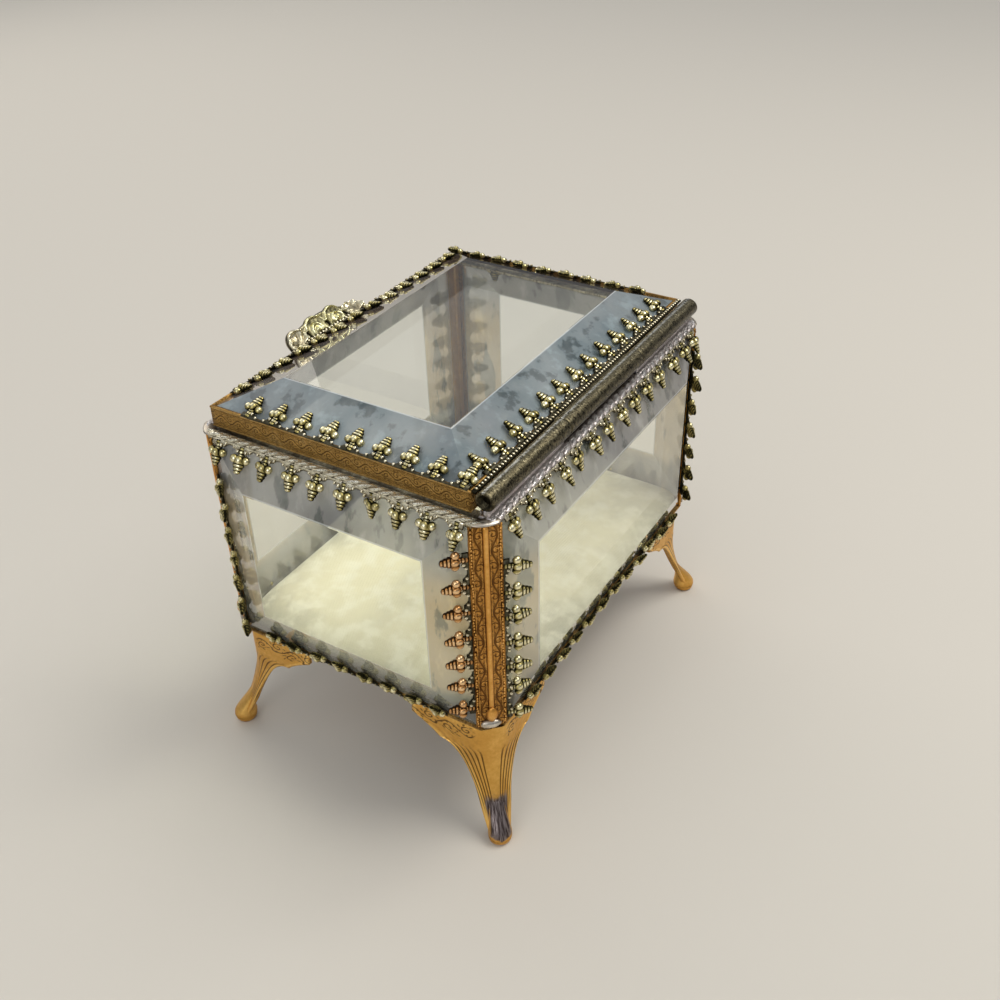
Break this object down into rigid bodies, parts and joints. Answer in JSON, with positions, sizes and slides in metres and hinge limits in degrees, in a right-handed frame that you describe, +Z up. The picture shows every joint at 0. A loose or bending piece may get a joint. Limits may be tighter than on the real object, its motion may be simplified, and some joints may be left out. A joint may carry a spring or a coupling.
{
  "type": "glass casket box",
  "caption": "Rectangular jewel casket of bevelled glass in fringed gilt-brass strips, with a hinged glass lid, a pierced thumb tab, splayed feet and a padded floor.",
  "frame": {"origin": "on the resting plane, at the middle of the part's box", "axes": "+X along the hinge, to the right as seen from the front; +Y from the front with the thumb tab to the back with the hinge; +Z up"},
  "size_m": [0.0972, 0.0732, 0.0842],
  "materials": {
    "gilt_strip": "stamped gilt brass, worn and tarnished in the recesses",
    "gilt_foot": "stamped gilt brass with dark tarnish patches",
    "gilt_tab": "pierced and stamped gilt brass, greyed with wear",
    "case_glass": "clear, polished, with a wide ground bevel",
    "hinge_tube": "drawn tube, gilding worn to dark olive brown",
    "hinge_wire": "plain wire, tarnished",
    "silk_pad": "cream silk, soft and slightly gathered",
    "base_plate": "plain sheet"
  },
  "bodies": {
    "case": {"bottom_plate": "base_plate", "cushion_pad": "silk_pad", "glass_front": "case_glass", "glass_back": "case_glass", "glass_left": "case_glass", "glass_right": "case_glass", "post_front_left": "gilt_strip", "post_front_right": "gilt_strip", "post_back_left": "gilt_strip", "post_back_right": "gilt_strip", "top_band_front": "gilt_strip", "top_band_back": "gilt_strip", "top_band_left": "gilt_strip", "top_band_right": "gilt_strip", "bottom_band_front": "gilt_strip", "bottom_band_back": "gilt_strip", "bottom_band_left": "gilt_strip", "bottom_band_right": "gilt_strip", "foot_front_left": "gilt_foot", "foot_front_right": "gilt_foot", "foot_back_left": "gilt_foot", "foot_back_right": "gilt_foot", "hinge_knuckle_left": "hinge_tube", "hinge_knuckle_right": "hinge_tube", "hinge_pin": "hinge_wire"},
    "lid": {"lid_glass": "case_glass", "lid_band_front": "gilt_strip", "lid_band_back": "gilt_strip", "lid_band_left": "gilt_strip", "lid_band_right": "gilt_strip", "lid_knuckle": "hinge_tube", "thumb_tab": "gilt_tab"}
  },
  "joints": [
    {"name": "lid_hinge", "type": "hinge", "parent": "case", "child": "lid", "pos_m": [0, 0.0303, 0.0792], "axis": [-1, 0, 0], "range_deg": [0, 105]}
  ]
}
